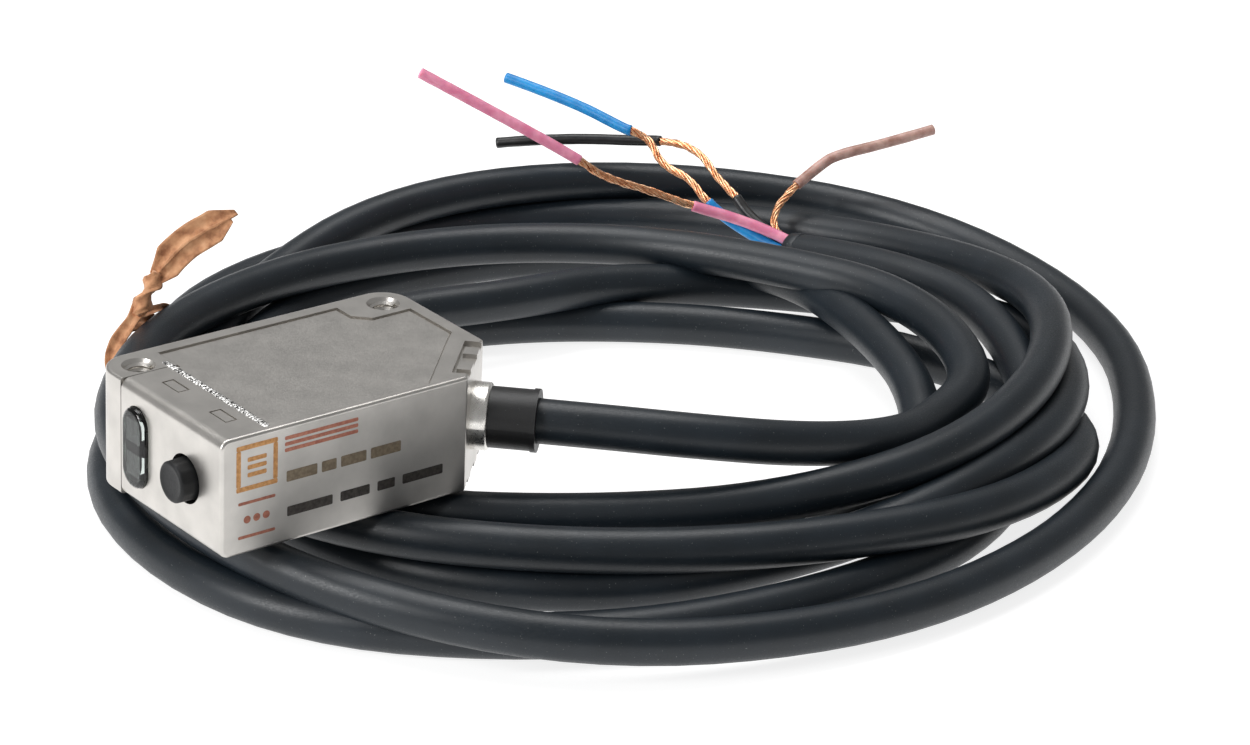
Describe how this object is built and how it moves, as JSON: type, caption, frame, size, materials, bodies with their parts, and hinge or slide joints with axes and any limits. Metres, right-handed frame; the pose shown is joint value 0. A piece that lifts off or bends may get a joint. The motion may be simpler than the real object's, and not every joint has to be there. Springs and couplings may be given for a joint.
{
  "type": "miniature photoelectric sensor",
  "caption": "Miniature photoelectric sensor in a flat stainless case with a teach button, an indicator window, two mounting holes and a coiled fixed cable.",
  "frame": {"origin": "midway between the two mounting holes, on the upper mounting face", "axes": "+X along the case from the button end to the cable end, +Y towards the lens, +Z out of the upper mounting face"},
  "size_m": [0.1162, 0.0978, 0.0216],
  "materials": {
    "case_steel": "satin brushed stainless",
    "weld_steel": "rough laser weld",
    "collar_nickel": "bright nickel",
    "window_clear": "clear moulded, smoky",
    "lens_acrylic": "clear acrylic",
    "button_rubber": "matt",
    "sleeve_rubber": "satin",
    "cable_pvc": "satin",
    "seal_rubber": "matt",
    "black_plastic": "moulded",
    "board_green": "solder mask",
    "component_dark": "moulded",
    "flex_amber": "polyimide film",
    "lamp_green": "clear tinted resin",
    "lamp_orange": "clear tinted resin",
    "emitter_resin": "clear resin",
    "shield_tin": "tin plate",
    "copper": "bare stranded copper",
    "insulation_brown": "satin",
    "insulation_blue": "satin",
    "insulation_black": "satin",
    "insulation_pink": "satin",
    "kraft_paper": "paper over wire"
  },
  "bodies": {
    "sensor": {"main_case": "case_steel", "rear_cover": "case_steel", "weld_beads": "weld_steel", "cable_end_plate": "case_steel", "indicator_window": "window_clear", "indicator_divider": "black_plastic", "window_gasket": "seal_rubber", "operation_lamp": "lamp_orange", "stability_lamp": "lamp_green", "indicator_board": "board_green", "button_seal": "seal_rubber", "tactile_switch": "component_dark", "sensing_lens": "lens_acrylic", "lens_gasket": "seal_rubber", "optics_holder": "black_plastic", "beam_splitter": "lens_acrylic", "emitter_led": "emitter_resin", "receiver_photodiode": "component_dark", "receiver_shield": "shield_tin", "main_board": "board_green", "processor_chip": "component_dark", "regulator_chip": "component_dark", "board_capacitors": "component_dark", "board_resistors": "component_dark", "flex_jumper": "flex_amber", "cable_collar": "collar_nickel", "strain_relief": "sleeve_rubber", "cable_seal": "seal_rubber", "cable_clamp": "shield_tin", "inner_leads": "insulation_black", "cable_lead": "cable_pvc", "cable_coil": "cable_pvc", "coil_tie": "kraft_paper", "pink_strands": "copper", "pink_insulation": "insulation_pink", "blue_strands": "copper", "blue_insulation": "insulation_blue", "black_strands": "copper", "black_insulation": "insulation_black", "brown_strands": "copper", "brown_insulation": "insulation_brown"},
    "button": {"teach_button": "button_rubber"},
    "plunger": {"switch_plunger": "black_plastic"}
  },
  "joints": [
    {"name": "teach_press", "type": "slide", "parent": "sensor", "child": "button", "axis": [1, 0, 0], "range_m": [0, 0.0005], "stiffness_N_per_m": 800},
    {"name": "plunger_slide", "type": "slide", "parent": "sensor", "child": "plunger", "axis": [1, 0, 0], "range_m": [0, 0.0005]}
  ],
  "couplings": [
    {"joint": "plunger_slide", "follows": "teach_press", "ratio": 1}
  ]
}
